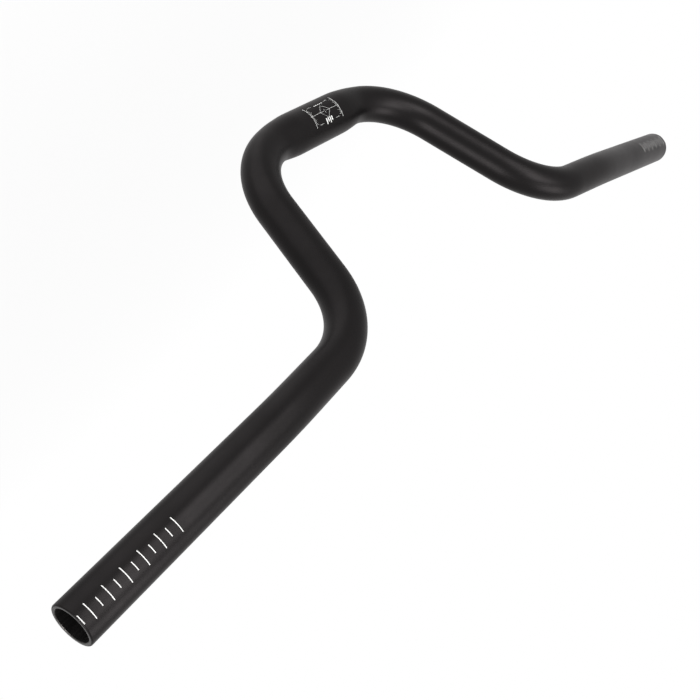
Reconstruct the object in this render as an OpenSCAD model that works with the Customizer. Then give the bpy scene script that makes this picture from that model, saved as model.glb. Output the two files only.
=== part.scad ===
/* [Bar] */
// Width between the centres of the two ends
bar_width = 636; // [600:1:700]
// Height of the end centres above the clamp axis
bar_rise = 134; // [120:1:150]
// Angle of the rising legs above the horizontal
leg_angle = 73.5; // [70:0.5:76]
// Length from the top corner of a leg to the corner of the backsweep bend
shoulder_length = 75; // [70:1:80]

/* [Sweep] */
// Backsweep of the stretch between the top bend and the backsweep bend
inner_backsweep = 4; // [2:0.5:6]
// Upsweep of the same stretch
inner_upsweep = 6; // [3:0.5:9]
// Backsweep of the grip stretch
grip_backsweep = 11.5; // [8:0.5:13]
// Upsweep of the grip stretch
grip_upsweep = 3; // [1:0.5:5]

/* [Bends] */
// Centreline radius of the bends at the foot and the top of a leg
leg_bend_radius = 52; // [46:1:54]
// Centreline radius of the backsweep bend
sweep_bend_radius = 200; // [150:10:220]

/* [Tube] */
// Outside diameter of the tube
tube_d = 22.2; // [21:0.1:23.8]
// Outside diameter of the stem seat in the middle
clamp_d = 25.4; // [24.6:0.1:27]
// Wall thickness
wall = 2; // [1.6:0.1:2.4]

/* [Stem seat] */
// Length of the straight seat at its full diameter
seat_length = 50; // [40:1:56]
// Length of each taper from the seat down to the tube, along the bar
taper_length = 17; // [14:0.5:20]
// Length of each taper that lies before the first bend starts
taper_straight = 8; // [5:0.5:10]

/* [Ends] */
// Rounding of the outer edge of each end
end_round = 0.7; // [0.3:0.1:0.9]
// Width of the broken edge of each bore
mouth_break = 0.3; // [0.1:0.1:0.5]

/* [Hidden] */
$fn = 96;
// Neighbouring stretches run into each other by this much
lap_length = 0.2;
// The drawn tube is this much slimmer where it is bent
bend_slimming = 0.05;
// The bent part of a taper is made of short cones of about this length
slice_reach = 2.5;
// Each cone starts this much slimmer than the one before it ends
slice_step = 0.06;

tube_r = tube_d / 2;
clamp_r = clamp_d / 2;
bore_r = tube_r - wall;

// Unit vector of a stretch that sweeps back towards -Y and up towards +Z
function swept(back, up) = [cos(up) * cos(back), -cos(up) * sin(back), sin(up)];
function unit(v) = v / norm(v);
function turn_between(a, b) = acos(unit(a) * unit(b));
// Length from a corner to where its bend starts
function bend_reach(a, b, radius) = radius * tan(turn_between(a, b) / 2);

leg_dir = [cos(leg_angle), 0, sin(leg_angle)];
inner_dir = swept(inner_backsweep, inner_upsweep);
grip_dir = swept(grip_backsweep, grip_upsweep);

foot_reach = bend_reach([1, 0, 0], leg_dir, leg_bend_radius);
top_reach = bend_reach(leg_dir, inner_dir, leg_bend_radius);
sweep_reach = bend_reach(inner_dir, grip_dir, sweep_bend_radius);

middle_straight = seat_length + 2 * taper_straight;
foot_corner = [middle_straight / 2 + foot_reach, 0, 0];

// What the legs and the grips still have to cover, across and upwards
span_left = bar_width / 2 - foot_corner.x - shoulder_length * inner_dir.x;
rise_left = bar_rise - shoulder_length * inner_dir.z;
cross_term = leg_dir.x * grip_dir.z - leg_dir.z * grip_dir.x;
leg_length = (span_left * grip_dir.z - rise_left * grip_dir.x) / cross_term;
grip_length = (rise_left * leg_dir.x - span_left * leg_dir.z) / cross_term;

// The other corners of the centreline on the +X side
top_corner = foot_corner + leg_length * leg_dir;
sweep_corner = top_corner + shoulder_length * inner_dir;
end_centre = sweep_corner + grip_length * grip_dir;

grip_start = sweep_corner + sweep_reach * grip_dir;
grip_straight = norm(end_centre - grip_start);

// How the taper goes on into the first bend
foot_turn = turn_between([1, 0, 0], leg_dir);
lap_angle = lap_length / leg_bend_radius * 180 / PI;
taper_slices = ceil((taper_length - taper_straight) / slice_reach);
slice_length = (taper_length - taper_straight) / taper_slices;
slice_angle = slice_length / leg_bend_radius * 180 / PI;
taper_bend_angle = taper_slices * slice_angle;
// Radius of the bar at a distance along the taper
function taper_r(along) = clamp_r - (clamp_r - tube_r) * along / taper_length;

// Puts its children at a point, with their +Z along a direction and their +X towards a side
module frame_at(point, along, side) {
    z = unit(along);
    x = unit(side - (side * z) * z);
    y = cross(z, x);
    multmatrix([
        [x.x, y.x, z.x, point.x],
        [x.y, y.y, z.y, point.y],
        [x.z, y.z, z.z, point.z],
        [0, 0, 0, 1]
    ]) children();
}

// Straight rod from one point to another, let into its neighbours by the lap
module rod(from, to, r) {
    along = unit(to - from);
    frame_at(from - lap_length * along, along, along.x > 0.9 ? [0, 0, 1] : [1, 0, 0])
        cylinder(h = norm(to - from) + 2 * lap_length, r = r);
}

// Puts its children where a bend starts, with +Z along the bar and +X towards the bend's centre
module bend_frame(corner, before, after, radius) {
    start = corner - bend_reach(before, after, radius) * before;
    frame_at(start, before, after) children();
}

// Sweeps a flat shape from one angle to another of a bend that starts at the origin along +Z
module bent_prism(radius, from, to) {
    translate([radius, 0, 0]) rotate([90, 0, 0]) rotate([0, 0, 180 - to])
        rotate_extrude(angle = to - from) translate([radius, 0]) children();
}

// Puts its children at an angle of that bend
module along_bend(radius, angle) {
    translate([radius, 0, 0]) rotate([0, angle, 0]) translate([-radius, 0, 0]) children();
}

// A whole bend round a corner
module bend(corner, before, after, radius, r) {
    bend_frame(corner, before, after, radius)
        bent_prism(radius, 0, turn_between(before, after)) circle(r = r);
}

// Stem seat with the straight part of both tapers, smaller all round by an inset
module seat(inset) {
    seat_r = clamp_r - inset;
    end_r = taper_r(taper_straight) + slice_step / 2 - inset;
    middle_end = middle_straight / 2 + lap_length;
    rotate([0, 90, 0]) rotate_extrude() polygon([
        [0, -middle_end],
        [end_r, -middle_end],
        [seat_r, -seat_length / 2],
        [seat_r, seat_length / 2],
        [end_r, middle_end],
        [0, middle_end]
    ]);
}

// Part of the taper that lies in the first bend: short cones along its chords, mitred where they meet
module bent_taper(inset) {
    chord = 2 * leg_bend_radius * sin(slice_angle / 2);
    over = lap_length + clamp_r * sin(slice_angle);
    for (i = [0 : taper_slices - 1]) {
        r_start = taper_r(taper_straight + i * slice_length) - slice_step / 2 - inset;
        last_step = i == taper_slices - 1 ? 0 : slice_step / 2;
        r_end = taper_r(taper_straight + (i + 1) * slice_length) + last_step - inset;
        growth = (r_start - r_end) * over / chord;
        along_bend(leg_bend_radius, i * slice_angle) intersection() {
            bent_prism(leg_bend_radius, -lap_angle, slice_angle) square(3 * clamp_r, center = true);
            rotate([0, slice_angle / 2, 0]) translate([0, 0, -over])
                cylinder(h = chord + 2 * over, r1 = r_start + growth, r2 = r_end - growth);
        }
    }
}

// Everything of the +X side between the seat and the grip, smaller all round by an inset
module side_run(inset) {
    straight_r = tube_r - inset;
    bend_r = straight_r - bend_slimming;
    bend_frame(foot_corner, [1, 0, 0], leg_dir, leg_bend_radius) {
        bent_taper(inset);
        bent_prism(leg_bend_radius, taper_bend_angle - lap_angle, foot_turn) circle(r = bend_r);
    }
    rod(foot_corner + foot_reach * leg_dir, top_corner - top_reach * leg_dir, straight_r);
    bend(top_corner, leg_dir, inner_dir, leg_bend_radius, bend_r);
    rod(top_corner + top_reach * inner_dir, sweep_corner - sweep_reach * inner_dir, straight_r);
    bend(sweep_corner, inner_dir, grip_dir, sweep_bend_radius, bend_r);
}

// Grip stretch with its rounded rim
module grip_rod() {
    frame_at(grip_start, grip_dir, [0, 0, 1]) rotate_extrude() {
        translate([0, -lap_length]) square([tube_r, grip_straight - end_round + lap_length]);
        square([tube_r - end_round, grip_straight]);
        intersection() {
            translate([tube_r - end_round, grip_straight - end_round]) circle(r = end_round);
            square([tube_r, grip_straight]);
        }
    }
}

// Bore of the grip stretch with its broken edge, cut a little past the rim
module grip_bore() {
    past = wall;
    frame_at(grip_start, grip_dir, [0, 0, 1]) {
        translate([0, 0, -lap_length]) cylinder(h = grip_straight + past + lap_length, r = bore_r);
        translate([0, 0, grip_straight - mouth_break])
            cylinder(h = mouth_break + past, r1 = bore_r, r2 = bore_r + mouth_break + past);
    }
}

module both_sides() {
    children();
    mirror([1, 0, 0]) children();
}

// One bent tube: stem seat, tapers, legs, shoulders and grips
module handlebar() {
    color([0.1, 0.1, 0.1]) difference() {
        union() {
            seat(0);
            both_sides() {
                side_run(0);
                grip_rod();
            }
        }
        union() {
            seat(wall);
            both_sides() {
                side_run(wall);
                grip_bore();
            }
        }
    }
}

handlebar();
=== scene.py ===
"""Mountain bike handlebar: one bent, open-ended tube in satin black with small white printed marks."""

import logging
import math
from dataclasses import dataclass, field
from enum import Enum, IntEnum

import bmesh
import bpy
from mathutils import Matrix, Vector


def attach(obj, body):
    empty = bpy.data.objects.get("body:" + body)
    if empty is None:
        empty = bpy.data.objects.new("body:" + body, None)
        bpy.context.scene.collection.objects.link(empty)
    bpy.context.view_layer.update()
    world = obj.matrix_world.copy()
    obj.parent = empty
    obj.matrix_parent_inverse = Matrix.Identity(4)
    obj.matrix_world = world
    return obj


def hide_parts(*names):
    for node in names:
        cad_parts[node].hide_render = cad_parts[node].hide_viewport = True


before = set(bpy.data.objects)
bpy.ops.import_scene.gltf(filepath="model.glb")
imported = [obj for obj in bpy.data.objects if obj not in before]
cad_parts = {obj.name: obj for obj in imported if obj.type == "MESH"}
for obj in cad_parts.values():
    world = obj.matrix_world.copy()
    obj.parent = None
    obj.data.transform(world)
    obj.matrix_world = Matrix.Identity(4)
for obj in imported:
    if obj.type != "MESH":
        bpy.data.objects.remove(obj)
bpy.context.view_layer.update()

LOG = logging.getLogger("handlebar")
MM = 0.001
BODY = "root"
NODE = "handlebar"

# Faces that meet at a sharper angle than this are shaded with an edge between them
SEAM_ANGLE = math.radians(32)
# Points closer than this are merged, in metres
TUBE_MERGE = 1e-6
INK_MERGE = 1e-7

Point = tuple[float, float, float]
Colour = tuple[float, float, float]
Span = tuple[float, float]
# Millimetres along a stretch of the bar, and degrees from its front up
Spot = tuple[float, float]

RISING: Span = (0.0, 1.0)
FALLING: Span = (1.0, 0.0)


class Side(Enum):
    """The two halves of the bar, by the sign of their X."""

    LEFT = -1
    RIGHT = 1


class Skin(IntEnum):
    """The parts of the tube's surface, each with the index of its material."""

    OUTSIDE = 0
    INSIDE = 1
    RIM = 2


def swept(backsweep: float, upsweep: float) -> Vector:
    """Gives the direction of a stretch on the right half of the bar.

    Args:
        backsweep: Degrees back towards -Y.
        upsweep: Degrees up towards +Z.

    Returns:
        A unit vector.
    """
    back = math.radians(backsweep)
    up = math.radians(upsweep)
    return Vector((math.cos(up) * math.cos(back), -math.cos(up) * math.sin(back), math.sin(up)))


def ease(share: float) -> float:
    """Gives a smooth step from 0 to 1, level at both ends."""
    return share * share * (3.0 - 2.0 * share)


@dataclass(frozen=True)
class BarLine:
    """Sizes of the bar's centreline, in millimetres and degrees."""

    width: float = 636.0
    rise: float = 134.0
    leg_angle: float = 73.5
    shoulder: float = 75.0
    inner_backsweep: float = 4.0
    inner_upsweep: float = 6.0
    grip_backsweep: float = 11.5
    grip_upsweep: float = 3.0
    leg_radius: float = 52.0
    sweep_radius: float = 200.0
    seat: float = 50.0
    taper_straight: float = 8.0

    @property
    def leg_way(self) -> Vector:
        """Direction of the rising leg."""
        angle = math.radians(self.leg_angle)
        return Vector((math.cos(angle), 0.0, math.sin(angle)))

    @property
    def inner_way(self) -> Vector:
        """Direction of the shoulder."""
        return swept(self.inner_backsweep, self.inner_upsweep)

    @property
    def grip_way(self) -> Vector:
        """Direction of the grip stretch."""
        return swept(self.grip_backsweep, self.grip_upsweep)

    @property
    def foot_x(self) -> float:
        """Length from the middle of the bar to the foot corner."""
        return self.seat / 2 + self.taper_straight + self.foot_reach()

    def foot_reach(self) -> float:
        """Length from the foot corner to where its bend starts."""
        return self.leg_radius * math.tan(math.radians(self.leg_angle) / 2)

    def top_reach(self) -> float:
        """Length from the top corner to where its bend starts."""
        return self.leg_radius * math.tan(self.leg_way.angle(self.inner_way) / 2)

    def sweep_reach(self) -> float:
        """Length from the backsweep corner to where its bend starts."""
        return self.sweep_radius * math.tan(self.inner_way.angle(self.grip_way) / 2)

    def corner_lengths(self) -> tuple[float, float]:
        """Solves the leg and the grip from the bar's width and rise.

        Returns:
            The lengths from the foot corner to the top corner, and from the backsweep corner to the end.
        """
        across = self.width / 2 - self.foot_x - self.shoulder * self.inner_way.x
        upwards = self.rise - self.shoulder * self.inner_way.z
        leg = self.leg_way
        grip = self.grip_way
        cross = leg.x * grip.z - leg.z * grip.x
        leg_length = (across * grip.z - upwards * grip.x) / cross
        grip_length = (upwards * leg.x - across * leg.z) / cross
        return leg_length, grip_length

    def end_centre(self, side: Side) -> Vector:
        """Gives the middle of an open end.

        Args:
            side: The half of the bar.

        Returns:
            Its place in metres.
        """
        leg_length, grip_length = self.corner_lengths()
        top = Vector((self.foot_x, 0.0, 0.0)) + leg_length * self.leg_way
        end = top + self.shoulder * self.inner_way + grip_length * self.grip_way
        return Vector((end.x * side.value, end.y, end.z)) * MM

    def outward(self, side: Side) -> Vector:
        """Gives the direction in which a grip stretch runs out of the bar."""
        way = self.grip_way
        return Vector((way.x * side.value, way.y, way.z))


@dataclass(frozen=True)
class TubeSection:
    """Round section of the tube, in millimetres."""

    tube_radius: float = 11.1
    seat_radius: float = 12.7
    wall: float = 2.0
    end_round: float = 0.7
    mouth_break: float = 0.3
    sides: int = 128


class Material:
    """A procedural material, made node by node."""

    def __init__(self, name: str) -> None:
        """Starts a material with only its output and one principled shader.

        Args:
            name: The material's name.
        """
        self.block = bpy.data.materials.new(name)
        self.block.use_nodes = True
        self.tree = self.block.node_tree
        self.shader = self.tree.nodes["Principled BSDF"]

    def node(self, kind: str, **settings: object) -> bpy.types.Node:
        """Adds a node.

        Args:
            kind: The node's type name.
            **settings: Values for its properties.

        Returns:
            The new node.
        """
        made = self.tree.nodes.new(kind)
        for key, value in settings.items():
            setattr(made, key, value)
        return made

    def link(self, source: bpy.types.NodeSocket, target: bpy.types.NodeSocket) -> None:
        """Joins two sockets."""
        self.tree.links.new(source, target)

    def noise(self, scale: float, detail: float, roughness: float = 0.5) -> bpy.types.Node:
        """Adds a noise texture on Object coordinates.

        Args:
            scale: Cells per metre.
            detail: Octaves of finer noise.
            roughness: Share that each finer octave keeps.

        Returns:
            The noise node.
        """
        coords = self.node("ShaderNodeTexCoord")
        texture = self.node("ShaderNodeTexNoise")
        texture.inputs["Scale"].default_value = scale
        texture.inputs["Detail"].default_value = detail
        texture.inputs["Roughness"].default_value = roughness
        self.link(coords.outputs["Object"], texture.inputs["Vector"])
        return texture

    def between(self, source: bpy.types.NodeSocket, taken: Span, given: Span) -> bpy.types.NodeSocket:
        """Maps a value from one span to another, held at both ends.

        Args:
            source: The value.
            taken: Start and end of the span it comes from.
            given: What the start and the end become.

        Returns:
            The mapped value's socket.
        """
        span = self.node("ShaderNodeMapRange")
        span.inputs["From Min"].default_value, span.inputs["From Max"].default_value = taken
        span.inputs["To Min"].default_value, span.inputs["To Max"].default_value = given
        self.link(source, span.inputs["Value"])
        return span.outputs["Result"]

    def blend(self, share: bpy.types.NodeSocket, first: Colour, second: Colour) -> bpy.types.NodeSocket:
        """Blends two colours by a share.

        Args:
            share: 0 for the first colour and 1 for the second.
            first: Linear colour.
            second: Linear colour.

        Returns:
            The colour's socket.
        """
        mix = self.node("ShaderNodeMix", data_type="RGBA")
        mix.inputs["A"].default_value = (*first, 1.0)
        mix.inputs["B"].default_value = (*second, 1.0)
        self.link(share, mix.inputs["Factor"])
        return mix.outputs["Result"]

    def bump(self, height: bpy.types.NodeSocket, distance: float, strength: float) -> None:
        """Roughens the surface by a height.

        Args:
            height: The height's socket.
            distance: Metres from the lowest to the highest.
            strength: Share of the effect.
        """
        relief = self.node("ShaderNodeBump")
        relief.inputs["Strength"].default_value = strength
        relief.inputs["Distance"].default_value = distance
        self.link(height, relief.inputs["Height"])
        self.link(relief.outputs["Normal"], self.shader.inputs["Normal"])


@dataclass(frozen=True)
class SatinBlack:
    """Blasted and black anodised outside of the tube: a dark metal with a soft gloss."""

    deep: Colour = (0.0132, 0.0122, 0.0123)
    worn: Colour = (0.0170, 0.0156, 0.0158)
    edge_tint: Colour = (0.77, 0.76, 0.76)
    metallic: float = 1.0
    dull: float = 0.43
    bright: float = 0.35
    grain_scale: float = 1900.0
    grain_depth: float = 0.000035
    grain_detail: float = 2.0
    grain_roughness: float = 0.55
    grain_strength: float = 0.6
    cloud_scale: float = 22.0
    cloud_detail: float = 4.0
    cloud_roughness: float = 0.6
    tone_span: Span = (0.35, 0.7)
    gloss_span: Span = (0.3, 0.7)

    def material(self) -> bpy.types.Material:
        """Builds the finish: soft clouds of tone and gloss over a fine blasted grain.

        Returns:
            The material.
        """
        made = Material("satin_black")
        cloud = made.noise(self.cloud_scale, self.cloud_detail, self.cloud_roughness)
        patch = made.between(cloud.outputs["Fac"], self.tone_span, RISING)
        made.link(made.blend(patch, self.deep, self.worn), made.shader.inputs["Base Color"])
        gloss = made.between(cloud.outputs["Fac"], self.gloss_span, (self.dull, self.bright))
        made.link(gloss, made.shader.inputs["Roughness"])
        made.shader.inputs["Metallic"].default_value = self.metallic
        made.shader.inputs["Specular Tint"].default_value = (*self.edge_tint, 1.0)
        grain = made.noise(self.grain_scale, self.grain_detail, self.grain_roughness)
        made.bump(grain.outputs["Fac"], self.grain_depth, self.grain_strength)
        return made.block


@dataclass(frozen=True)
class BoreBlack:
    """Duller anodised inside of the tube, with the long streaks of drawing it."""

    deep: Colour = (0.0045, 0.0042, 0.0042)
    streak: Colour = (0.012, 0.011, 0.011)
    roughness: float = 0.6
    specular: float = 0.12
    across_scale: float = 900.0
    along_scale: float = 12.0
    detail: float = 3.0
    streak_span: Span = (0.4, 0.7)
    streak_depth: float = 0.00002
    streak_strength: float = 0.5

    def material(self) -> bpy.types.Material:
        """Builds the finish from a noise that is stretched along the bar.

        Returns:
            The material.
        """
        made = Material("bore_black")
        coords = made.node("ShaderNodeTexCoord")
        stretch = made.node("ShaderNodeMapping")
        stretch.inputs["Scale"].default_value = (self.along_scale, self.across_scale, self.across_scale)
        made.link(coords.outputs["Object"], stretch.inputs["Vector"])
        texture = made.node("ShaderNodeTexNoise")
        # The stretch already holds the scale
        texture.inputs["Scale"].default_value = 1.0
        texture.inputs["Detail"].default_value = self.detail
        made.link(stretch.outputs["Vector"], texture.inputs["Vector"])
        share = made.between(texture.outputs["Fac"], self.streak_span, RISING)
        made.link(made.blend(share, self.deep, self.streak), made.shader.inputs["Base Color"])
        made.shader.inputs["Roughness"].default_value = self.roughness
        made.shader.inputs["Specular IOR Level"].default_value = self.specular
        made.bump(texture.outputs["Fac"], self.streak_depth, self.streak_strength)
        return made.block


@dataclass(frozen=True)
class CutRim:
    """Sawn and broken edge of an open end, anodised thinner than the outside."""

    thin: Colour = (0.060, 0.057, 0.055)
    thick: Colour = (0.022, 0.021, 0.020)
    metallic: float = 1.0
    roughness: float = 0.38
    mark_scale: float = 1400.0
    mark_detail: float = 3.0
    mark_roughness: float = 0.6
    mark_span: Span = (0.35, 0.65)
    mark_depth: float = 0.00003
    mark_strength: float = 0.6

    def material(self) -> bpy.types.Material:
        """Builds the finish: fine saw marks with thinner black on their crests.

        Returns:
            The material.
        """
        made = Material("cut_rim")
        marks = made.noise(self.mark_scale, self.mark_detail, self.mark_roughness)
        share = made.between(marks.outputs["Fac"], self.mark_span, RISING)
        made.link(made.blend(share, self.thick, self.thin), made.shader.inputs["Base Color"])
        made.shader.inputs["Metallic"].default_value = self.metallic
        made.shader.inputs["Roughness"].default_value = self.roughness
        made.bump(marks.outputs["Fac"], self.mark_depth, self.mark_strength)
        return made.block


@dataclass(frozen=True)
class WhiteInk:
    """Screen-printed white ink, a little thin in places."""

    full: Colour = (0.86, 0.86, 0.84)
    thin: Colour = (0.62, 0.62, 0.60)
    roughness: float = 0.5
    fleck_scale: float = 2600.0
    fleck_detail: float = 2.0
    fleck_span: Span = (0.35, 0.55)
    fleck_depth: float = 0.00001
    fleck_strength: float = 0.4

    def material(self) -> bpy.types.Material:
        """Builds the finish: white with small thin flecks.

        Returns:
            The material.
        """
        made = Material("white_ink")
        fleck = made.noise(self.fleck_scale, self.fleck_detail)
        share = made.between(fleck.outputs["Fac"], self.fleck_span, FALLING)
        made.link(made.blend(share, self.full, self.thin), made.shader.inputs["Base Color"])
        made.shader.inputs["Roughness"].default_value = self.roughness
        made.bump(fleck.outputs["Fac"], self.fleck_depth, self.fleck_strength)
        return made.block


class TubeWalk:
    """Draws a ring of edges along the bar and leaves the tube's skin behind it."""

    def __init__(self, radius: float, sides: int) -> None:
        """Starts with a ring round the X axis at the origin.

        Args:
            radius: The ring's radius in millimetres.
            sides: Edges in the ring.
        """
        self.mesh = bmesh.new()
        self.at = Vector((0.0, 0.0, 0.0))
        self.way = Vector((1.0, 0.0, 0.0))
        self.radius = radius
        bmesh.ops.create_circle(
            self.mesh, segments=sides, radius=radius * MM, matrix=Matrix.Rotation(math.pi / 2, 4, "Y")
        )
        self.ring = list(self.mesh.edges)

    def take(self, made: list[bmesh.types.BMVert | bmesh.types.BMEdge | bmesh.types.BMFace]) -> None:
        """Makes the newest edges the ring."""
        self.ring = [part for part in made if isinstance(part, bmesh.types.BMEdge)]

    def swell(self, radius: float) -> None:
        """Brings the ring to a new radius.

        Args:
            radius: Millimetres.
        """
        verts = list({vert for edge in self.ring for vert in edge.verts})
        share = radius / self.radius
        bmesh.ops.scale(self.mesh, vec=(share,) * 3, space=Matrix.Translation(-self.at), verts=verts)
        self.radius = radius

    def straight(self, length: float, radius: float | None = None, steps: int = 1) -> None:
        """Goes straight on.

        Args:
            length: Millimetres.
            radius: The radius to end with, or None to keep it.
            steps: Rings to lay down.
        """
        for _ in range(steps):
            made = bmesh.ops.extrude_edge_only(self.mesh, edges=self.ring)["geom"]
            verts = [part for part in made if isinstance(part, bmesh.types.BMVert)]
            shift = self.way * length * MM / steps
            bmesh.ops.translate(self.mesh, vec=shift, verts=verts)
            self.at += shift
            self.take(made)
        if radius is not None:
            self.swell(radius)

    def bend(self, towards: Vector, bend_radius: float, steps: int, share: float = 1.0) -> None:
        """Goes round a bend.

        Args:
            towards: Direction after the whole bend.
            bend_radius: Radius of its centreline in millimetres.
            steps: Rings to lay down.
            share: Share of the whole bend to go.
        """
        axis = self.way.cross(towards).normalized()
        turn = self.way.angle(towards) * share
        centre = self.at + axis.cross(self.way) * bend_radius * MM
        made = bmesh.ops.spin(
            self.mesh, geom=self.ring, cent=centre, axis=axis, dvec=(0, 0, 0), angle=turn, steps=steps,
            space=Matrix.Identity(4), use_merge=False, use_normal_flip=False, use_duplicate=False,
        )["geom_last"]
        swing = Matrix.Rotation(turn, 3, axis)
        self.at = centre + swing @ (self.at - centre)
        self.way = swing @ self.way
        self.take(made)


@dataclass
class BarTube:
    """The bent tube with its stem seat, tapers, open ends and bore.

    Lengths are in millimetres and angles in degrees. Steps are the rings along a stretch, or the faces
    across a bevel.
    """

    line: BarLine = field(default_factory=BarLine)
    section: TubeSection = field(default_factory=TubeSection)
    outside: SatinBlack = field(default_factory=SatinBlack)
    inside: BoreBlack = field(default_factory=BoreBlack)
    rim: CutRim = field(default_factory=CutRim)
    taper_steps: int = 16
    taper_lead: float = 4.0
    taper_run: float = 24.0
    seat_steps: int = 2
    leg_bend_steps: int = 28
    leg_steps: int = 4
    shoulder_steps: int = 2
    sweep_bend_steps: int = 10
    grip_steps: int = 6
    round_steps: int = 6
    break_steps: int = 1
    rim_angle: float = 60.0
    cut_facing: float = 0.9

    def taper_radius(self, along: float) -> float:
        """Gives the outside radius at a distance past the start of the taper."""
        share = ease(min(along / self.taper_run, 1.0))
        return self.section.seat_radius + (self.section.tube_radius - self.section.seat_radius) * share

    def walk_taper(self, walk: TubeWalk) -> None:
        """Lays the taper, which starts a little inside the seat and ends in the first bend.

        Args:
            walk: The walk, at the start of the taper.
        """
        line = self.line
        flat = line.taper_straight + self.taper_lead
        step = self.taper_run / self.taper_steps
        straight_steps = round(flat / step)
        for i in range(straight_steps):
            walk.straight(flat / straight_steps, self.taper_radius((i + 1) * flat / straight_steps))
        bent_steps = self.taper_steps - straight_steps
        reach = (self.taper_run - flat) / bent_steps
        for i in range(bent_steps):
            whole = walk.way.angle(line.leg_way)
            walk.bend(line.leg_way, line.leg_radius, 1, reach / line.leg_radius / whole)
            walk.swell(self.taper_radius(flat + (i + 1) * reach))

    def outer_half(self) -> TubeWalk:
        """Lays the outer skin of the right half, from the middle of the bar to the open end.

        Returns:
            The walk, at the open end.
        """
        line = self.line
        leg_length, grip_length = line.corner_lengths()
        walk = TubeWalk(self.section.seat_radius, self.section.sides)
        walk.straight(line.seat / 2 - self.taper_lead, steps=self.seat_steps)
        self.walk_taper(walk)
        walk.bend(line.leg_way, line.leg_radius, self.leg_bend_steps)
        walk.straight(leg_length - line.foot_reach() - line.top_reach(), steps=self.leg_steps)
        walk.bend(line.inner_way, line.leg_radius, self.leg_bend_steps)
        walk.straight(line.shoulder - line.top_reach() - line.sweep_reach(), steps=self.shoulder_steps)
        walk.bend(line.grip_way, line.sweep_radius, self.sweep_bend_steps)
        walk.straight(grip_length - line.sweep_reach(), steps=self.grip_steps)
        return walk

    def build(self) -> bpy.types.Object:
        """Mirrors the skin, gives it its wall, and rounds the open ends.

        Returns:
            The tube, in place of its CAD node.
        """
        mesh = self.outer_half().mesh
        whole = [*mesh.verts, *mesh.edges, *mesh.faces]
        bmesh.ops.mirror(mesh, geom=whole, matrix=Matrix.Identity(4), merge_dist=TUBE_MERGE, axis="X")
        bmesh.ops.remove_doubles(mesh, verts=mesh.verts, dist=TUBE_MERGE)
        bmesh.ops.recalc_face_normals(mesh, faces=mesh.faces)
        # The faces that solidify gives back are the bore
        bore = bmesh.ops.solidify(mesh, geom=list(mesh.faces), thickness=self.section.wall * MM)["geom"]
        for part in bore:
            if isinstance(part, bmesh.types.BMFace):
                part.material_index = Skin.INSIDE
        for side in Side:
            self.finish_end(mesh, side)
        finishes = [self.outside.material(), self.inside.material(), self.rim.material()]
        tube = new_piece("bar_tube", mesh, finishes)
        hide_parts(NODE)
        return tube

    def finish_end(self, mesh: bmesh.types.BMesh, side: Side) -> None:
        """Rounds the outer edge of an open end, breaks the edge of its bore and paints the cut between them.

        Args:
            mesh: The tube with its wall.
            side: The end to work on.
        """
        centre = self.line.end_centre(side)
        outward = self.line.outward(side)
        reach = self.section.tube_radius * MM
        cut = [
            face
            for face in mesh.faces
            if face.normal.dot(outward) > self.cut_facing
            and face.material_index != Skin.INSIDE
            and (face.calc_center_median() - centre).length < reach
        ]
        for face in cut:
            face.material_index = Skin.RIM
        sharp = math.radians(self.rim_angle)
        rims = dict.fromkeys(edge for face in cut for edge in face.edges if edge.calc_face_angle() > sharp)
        middle = (self.section.tube_radius - self.section.wall / 2) * MM
        outer = []
        inner = []
        for edge in rims:
            first, second = edge.verts
            distance = ((first.co + second.co) / 2 - centre).length
            ring = outer if distance > middle else inner
            ring.append(edge)
        LOG.info("%s end: %d outer and %d inner edges", side.name, len(outer), len(inner))
        self.break_edge(mesh, inner, self.section.mouth_break, self.break_steps, Skin.RIM)
        self.break_edge(mesh, outer, self.section.end_round, self.round_steps, Skin.OUTSIDE)

    def break_edge(
        self, mesh: bmesh.types.BMesh, edges: list[bmesh.types.BMEdge], reach: float, steps: int, skin: Skin
    ) -> None:
        """Bevels a rim and gives the new faces their finish.

        Args:
            mesh: The tube.
            edges: The rim's edges.
            reach: Millimetres taken off each way.
            steps: Faces across the bevel.
            skin: The part of the surface that they belong to.
        """
        made = bmesh.ops.bevel(
            mesh, geom=edges, offset=reach * MM, segments=steps, profile=0.5, affect="EDGES", material=-1
        )
        for face in made["faces"]:
            face.material_index = skin


def new_piece(name: str, mesh: bmesh.types.BMesh, materials: list[bpy.types.Material]) -> bpy.types.Object:
    """Makes an object of a mesh and lets it ride on the bar.

    Args:
        name: The piece's name.
        mesh: Its mesh, in metres, in place. It is freed.
        materials: Its materials, in the order of its faces' indices.

    Returns:
        The new object.
    """
    data = bpy.data.meshes.new(name)
    mesh.to_mesh(data)
    mesh.free()
    for material in materials:
        data.materials.append(material)
    for polygon in data.polygons:
        polygon.use_smooth = True
    data.set_sharp_from_angle(angle=SEAM_ANGLE)
    piece = bpy.data.objects.new(name, data)
    bpy.context.scene.collection.objects.link(piece)
    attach(piece, BODY)
    LOG.info("%s: %d faces", name, len(data.polygons))
    return piece


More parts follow.
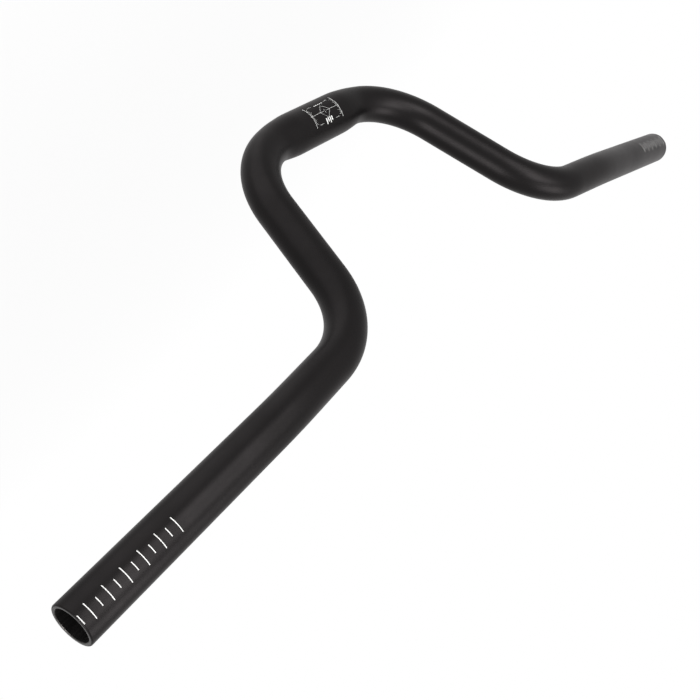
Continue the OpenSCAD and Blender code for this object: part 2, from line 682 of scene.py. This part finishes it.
class InkPlate:
    """Printed strokes that lie round a straight stretch of the bar.

    Each stroke is sunk into the tube by a little and stands proud of it by less, both in millimetres, and
    is bent round it in steps of some degrees.
    """

    sunk: float = 0.05
    proud: float = 0.015
    step_angle: float = 3.0

    def __init__(self, origin: Vector, along: Vector, radius: float) -> None:
        """Starts an empty plate.

        Args:
            origin: Zero of the distances along the stretch, in metres.
            along: Direction of the stretch.
            radius: Outside radius there, in millimetres.
        """
        self.mesh = bmesh.new()
        self.origin = origin
        self.along = along.normalized()
        self.up = (Vector((0, 0, 1)) - self.along.z * self.along).normalized()
        front = self.up.cross(self.along)
        self.front = front if front.y > 0 else -front
        self.radius = radius

    def stroke(self, start: Spot, stop: Spot, width: float) -> None:
        """Prints one stroke that runs mostly round the bar, as a thin closed strip.

        Args:
            start: Where the stroke starts.
            stop: Where it ends.
            width: Millimetres across the stroke, along the bar.
        """
        turn = math.radians(stop[1] - start[1])
        steps = max(1, round(abs(turn) / math.radians(self.step_angle)))
        low = self.radius - self.sunk
        high = self.radius + self.proud
        first = math.radians(start[1])
        out = self.front * math.cos(first) + self.up * math.sin(first)
        corners = [(-width / 2, low), (width / 2, low), (width / 2, high), (-width / 2, high)]
        verts = [
            self.mesh.verts.new(self.origin + (self.along * (start[0] + across) + out * reach) * MM)
            for across, reach in corners
        ]
        cap = self.mesh.faces.new(verts)
        axis = self.front.cross(self.up)
        bmesh.ops.spin(
            self.mesh, geom=[cap, *cap.edges, *verts], cent=self.origin, axis=axis,
            dvec=self.along * (stop[0] - start[0]) * MM / steps, angle=turn, space=Matrix.Identity(4),
            steps=steps, use_merge=False, use_normal_flip=False, use_duplicate=False,
        )

    def piece(self, name: str, ink: bpy.types.Material) -> bpy.types.Object:
        """Finishes the plate as one piece.

        Args:
            name: The piece's name.
            ink: Its material.

        Returns:
            The new object.
        """
        bmesh.ops.remove_doubles(self.mesh, verts=self.mesh.verts, dist=INK_MERGE)
        bmesh.ops.recalc_face_normals(self.mesh, faces=self.mesh.faces)
        return new_piece(name, self.mesh, [ink])


@dataclass
class GripScale:
    """Cutting scale near an open end: short and long strokes in turn, in millimetres and degrees."""

    side: Side
    line: BarLine = field(default_factory=BarLine)
    radius: float = 11.1
    strokes: int = 12
    first: float = 0.85
    pitch: float = 5.1
    width: float = 0.42
    short_span: Span = (2.9, 26.3)
    long_span: Span = (-6.2, 36.2)

    def build(self, ink: bpy.types.Material) -> bpy.types.Object:
        """Prints the strokes, the first one right behind the rim.

        Args:
            ink: Their material.

        Returns:
            The scale as one piece.
        """
        plate = InkPlate(self.line.end_centre(self.side), self.line.outward(self.side), self.radius)
        for i in range(self.strokes):
            low, high = self.long_span if i % 2 else self.short_span
            at = -(self.first + i * self.pitch)
            plate.stroke((at, low), (at, high), self.width)
        return plate.piece(f"grip_scale_{self.side.name.lower()}", ink)


@dataclass
class SeatMarks:
    """Marks on the front of the stem seat that show where the stem goes and how far the bar is turned.

    Lengths are in millimetres. The middle of the marks is in degrees from the front of the seat up, and
    every other angle is counted from that middle.
    """

    radius: float = 12.7
    middle: float = 12.3
    edge: float = 13.3
    edge_span: float = 34.0
    line_width: float = 0.21
    fine_width: float = 0.13
    tick_width: float = 0.07
    ticks_each_way: int = 10
    tick_pitch: float = 2.5
    tick_gap: float = 0.3
    tick_reach: float = 1.2
    long_tick_every: int = 5
    long_tick_reach: float = 2.2
    dash_angle: float = 29.0
    dash_span: Span = (6.4, 10.0)
    line_span: Span = (1.2, 14.0)
    diamond_across: float = 4.8
    diamond_around: float = 20.0
    diamond_width: float = 0.156
    upright: float = 6.0
    block_width: float = 0.9
    block_pitch: float = 1.8
    upper_blocks: int = 4
    upper_span: Span = (19.0, 35.0)
    upper_drop: float = 5.0
    lower_blocks: int = 5
    lower_span: Span = (-27.5, -25.0)

    def build(self, ink: bpy.types.Material) -> bpy.types.Object:
        """Prints the edge arcs, their tick scales, the dashes, the centre line and the middle marks.

        Args:
            ink: Their material.

        Returns:
            The marks as one piece.
        """
        plate = InkPlate(Vector((0, 0, 0)), Vector((1, 0, 0)), self.radius)
        for side in Side:
            self.edge_arc(plate, side)
            self.tick_scale(plate, side)
            self.dashes(plate, side)
        self.centre_line(plate)
        self.middle_mark(plate)
        self.block_row(plate, self.upper_blocks, self.upper_span, self.upper_drop)
        self.block_row(plate, self.lower_blocks, self.lower_span, 0.0)
        return plate.piece("seat_marks", ink)

    def level(self, plate: InkPlate, start: float, stop: float, angle: float, width: float) -> None:
        """Prints a stroke that runs along the bar.

        Args:
            plate: The seat's plate.
            start: Millimetres from the middle of the bar.
            stop: The same of the other end.
            angle: Degrees from the front up.
            width: Millimetres across the stroke, round the bar.
        """
        half = math.degrees(width / self.radius) / 2
        at = (start + stop) / 2
        plate.stroke((at, angle - half), (at, angle + half), abs(stop - start))

    def edge_arc(self, plate: InkPlate, side: Side) -> None:
        """Prints the arc at one edge of the clamp's place."""
        at = side.value * self.edge
        plate.stroke((at, self.middle - self.edge_span), (at, self.middle + self.edge_span), self.line_width)

    def tick_scale(self, plate: InkPlate, side: Side) -> None:
        """Prints the ticks inside an arc, with every fifth one longer.

        Args:
            plate: The seat's plate.
            side: The arc's half of the bar.
        """
        outer = side.value * (self.edge - self.tick_gap)
        for i in range(-self.ticks_each_way, self.ticks_each_way + 1):
            reach = self.tick_reach if i % self.long_tick_every else self.long_tick_reach
            angle = self.middle + self.tick_pitch * i
            self.level(plate, outer, outer - side.value * reach, angle, self.tick_width)

    def dashes(self, plate: InkPlate, side: Side) -> None:
        """Prints the short level dashes near the ends of an arc.

        Args:
            plate: The seat's plate.
            side: The arc's half of the bar.
        """
        start, stop = (side.value * at for at in self.dash_span)
        for angle in (self.middle + self.dash_angle, self.middle - self.dash_angle):
            self.level(plate, start, stop, angle, self.fine_width)

    def centre_line(self, plate: InkPlate) -> None:
        """Prints the level line through the middle, with a gap at the upright stroke.

        Args:
            plate: The seat's plate.
        """
        for side in Side:
            start, stop = (side.value * at for at in self.line_span)
            self.level(plate, start, stop, self.middle, self.fine_width)

    def middle_mark(self, plate: InkPlate) -> None:
        """Prints a plain diamond and an upright stroke in the middle.

        Args:
            plate: The seat's plate.
        """
        for side in Side:
            tip = (side.value * self.diamond_across, self.middle)
            plate.stroke((0.0, self.middle - self.diamond_around), tip, self.diamond_width)
            plate.stroke(tip, (0.0, self.middle + self.diamond_around), self.diamond_width)
        plate.stroke((0.0, self.middle - self.upright), (0.0, self.middle + self.upright), self.fine_width)

    def block_row(self, plate: InkPlate, count: int, span: Span, drop: float) -> None:
        """Prints a row of small blocks above or below the middle mark.

        Args:
            plate: The seat's plate.
            count: Blocks in the row.
            span: Degrees from the middle at which a block starts and stops.
            drop: Degrees by which every second block is shorter.
        """
        low, high = span
        for i in range(count):
            at = (i - (count - 1) / 2) * self.block_pitch
            top = self.middle + high - drop * (i % 2)
            plate.stroke((at, self.middle + low), (at, top), self.block_width)


def square_light(name: str, size: float, power: float) -> bpy.types.Object:
    """Makes a square soft light at the origin, facing down.

    Args:
        name: Its name.
        size: Metres along each edge.
        power: Watts.

    Returns:
        The light's object.
    """
    light = bpy.data.lights.new(name, "AREA")
    light.shape = "SQUARE"
    light.size = size
    light.energy = power
    lamp = bpy.data.objects.new(name, light)
    bpy.context.scene.collection.objects.link(lamp)
    return lamp


@dataclass(frozen=True)
class SoftLamp:
    """A square soft lamp that faces the bar, in degrees, metres and watts."""

    name: str
    azimuth: float
    elevation: float
    size: float
    power: float
    reach: float = 1.6
    aim_height: float = 0.06

    def hang(self) -> None:
        """Hangs the lamp where its angles say, counted from +X towards +Y and upwards."""
        lamp = square_light(self.name, self.size, self.power)
        way = Vector((1, 0, 0))
        way.rotate(Matrix.Rotation(math.radians(-self.elevation), 3, "Y"))
        way.rotate(Matrix.Rotation(math.radians(self.azimuth), 3, "Z"))
        lamp.location = Vector((0, 0, self.aim_height)) + way * self.reach
        lamp.rotation_euler = way.to_track_quat("Z", "Y").to_euler()


@dataclass(frozen=True)
class TableLight:
    """Soft light that comes up from the pale table in front of the bar, in metres and watts."""

    name: str = "table_light"
    at: Point = (-0.25, 0.45, -0.29)
    size: float = 0.8
    power: float = 2.0

    def lay(self) -> None:
        """Lays the light flat on the table, facing up and out of the camera's sight."""
        lamp = square_light(self.name, self.size, self.power)
        lamp.location = self.at
        lamp.rotation_euler = (math.pi, 0.0, 0.0)
        lamp.visible_camera = False


@dataclass
class Studio:
    """Floor, world, lamps and camera.

    The floor is in metres. The camera's eye, lens and sensor are in millimetres, and its other three
    points are its axes in the frame of the bar.
    """

    lamps: tuple[SoftLamp, ...] = (
        SoftLamp("front_low_lamp", azimuth=88.0, elevation=14.0, size=0.8, power=9.5),
        SoftLamp("front_high_lamp", azimuth=88.0, elevation=46.0, size=0.8, power=10.5),
        SoftLamp("side_lamp", azimuth=180.0, elevation=15.0, size=0.8, power=17.0),
        SoftLamp("top_lamp", azimuth=0.0, elevation=85.0, size=0.8, power=9.0),
    )
    table_light: TableLight = TableLight()
    ground_strength: float = 0.35
    white_strength: float = 1.0
    floor_drop: float = 0.30
    floor_size: float = 30.0
    floor_tone: Colour = (0.85, 0.85, 0.85)
    floor_roughness: float = 0.9
    fade_reach: Span = (0.5, 1.2)
    fade_share: Span = (0.85, 1.0)
    sensor: float = 36.0
    lens: float = 60.85974
    shift: Span = (-0.0119336, -0.0074811)
    clip: Span = (0.01, 100.0)
    eye: Point = (-550.59542506, 388.55899273, 225.95279326)
    right: Point = (0.53991147, 0.40380349, 0.73853798)
    up: Point = (0.41680955, 0.63402435, -0.65137003)
    back: Point = (-0.73127656, 0.65951184, 0.17400786)

    def seen_directly(self, tree: bpy.types.NodeTree) -> bpy.types.NodeSocket:
        """Gives 1 for camera, glossy and transmission rays and 0 for the rest.

        Args:
            tree: The nodes that need it.

        Returns:
            The value's socket.
        """
        path = tree.nodes.new("ShaderNodeLightPath")
        total = path.outputs["Is Camera Ray"]
        for name in ("Is Glossy Ray", "Is Transmission Ray"):
            add = tree.nodes.new("ShaderNodeMath")
            add.operation = "MAXIMUM"
            tree.links.new(total, add.inputs[0])
            tree.links.new(path.outputs[name], add.inputs[1])
            total = add.outputs["Value"]
        return total

    def world(self) -> None:
        """Makes the surroundings white to the eye and a plain soft light to the bar."""
        world = bpy.data.worlds.new("studio")
        bpy.context.scene.world = world
        world.use_nodes = True
        tree = world.node_tree
        ground = tree.nodes["Background"]
        ground.inputs["Color"].default_value = (1, 1, 1, 1)
        ground.inputs["Strength"].default_value = self.ground_strength
        white = tree.nodes.new("ShaderNodeBackground")
        white.inputs["Color"].default_value = (1, 1, 1, 1)
        white.inputs["Strength"].default_value = self.white_strength
        mix = tree.nodes.new("ShaderNodeMixShader")
        tree.links.new(self.seen_directly(tree), mix.inputs["Fac"])
        tree.links.new(ground.outputs["Background"], mix.inputs[1])
        tree.links.new(white.outputs["Background"], mix.inputs[2])
        tree.links.new(mix.outputs["Shader"], tree.nodes["World Output"].inputs["Surface"])

    def floor(self) -> None:
        """Lays the pale floor well below the bar, which a stem holds up."""
        mesh = bmesh.new()
        bmesh.ops.create_grid(mesh, x_segments=1, y_segments=1, size=self.floor_size / 2)
        bmesh.ops.translate(mesh, vec=(0, 0, -self.floor_drop), verts=mesh.verts)
        data = bpy.data.meshes.new("floor")
        mesh.to_mesh(data)
        mesh.free()
        made = Material("pale_floor")
        made.shader.inputs["Base Color"].default_value = (*self.floor_tone, 1.0)
        made.shader.inputs["Roughness"].default_value = self.floor_roughness
        made.shader.inputs["Specular IOR Level"].default_value = 0.0
        glow = made.node("ShaderNodeEmission")
        mix = made.node("ShaderNodeMixShader")
        coords = made.node("ShaderNodeTexCoord")
        distance = made.node("ShaderNodeVectorMath", operation="LENGTH")
        made.link(coords.outputs["Object"], distance.inputs[0])
        fade = made.between(distance.outputs["Value"], self.fade_reach, self.fade_share)
        share = made.node("ShaderNodeMath", operation="MULTIPLY")
        made.link(self.seen_directly(made.tree), share.inputs[0])
        made.link(fade, share.inputs[1])
        made.link(share.outputs["Value"], mix.inputs["Fac"])
        made.link(made.shader.outputs["BSDF"], mix.inputs[1])
        made.link(glow.outputs["Emission"], mix.inputs[2])
        made.link(mix.outputs["Shader"], made.tree.nodes["Material Output"].inputs["Surface"])
        data.materials.append(made.block)
        floor = bpy.data.objects.new("floor", data)
        bpy.context.scene.collection.objects.link(floor)

    def camera(self) -> None:
        """Sets the camera at the photograph's place and angle."""
        data = bpy.data.cameras.new("camera")
        data.sensor_width = self.sensor
        data.lens = self.lens
        data.shift_x, data.shift_y = self.shift
        data.clip_start, data.clip_end = self.clip
        camera = bpy.data.objects.new("camera", data)
        turn = Matrix((self.right, self.up, self.back)).transposed().to_4x4()
        camera.matrix_world = Matrix.Translation(Vector(self.eye) * MM) @ turn
        bpy.context.scene.collection.objects.link(camera)
        bpy.context.scene.camera = camera

    def build(self) -> None:
        """Sets up the whole studio."""
        bpy.context.scene.view_settings.view_transform = "Standard"
        self.world()
        self.floor()
        self.camera()
        for lamp in self.lamps:
            lamp.hang()
        self.table_light.lay()


def main() -> None:
    """Builds the bar and its studio."""
    logging.basicConfig(level=logging.INFO, format="%(name)s %(message)s")
    BarTube().build()
    ink = WhiteInk().material()
    for side in Side:
        GripScale(side).build(ink)
    SeatMarks().build(ink)
    Studio().build()
    bpy.context.view_layer.update()


if __name__ == "__main__":
    main()
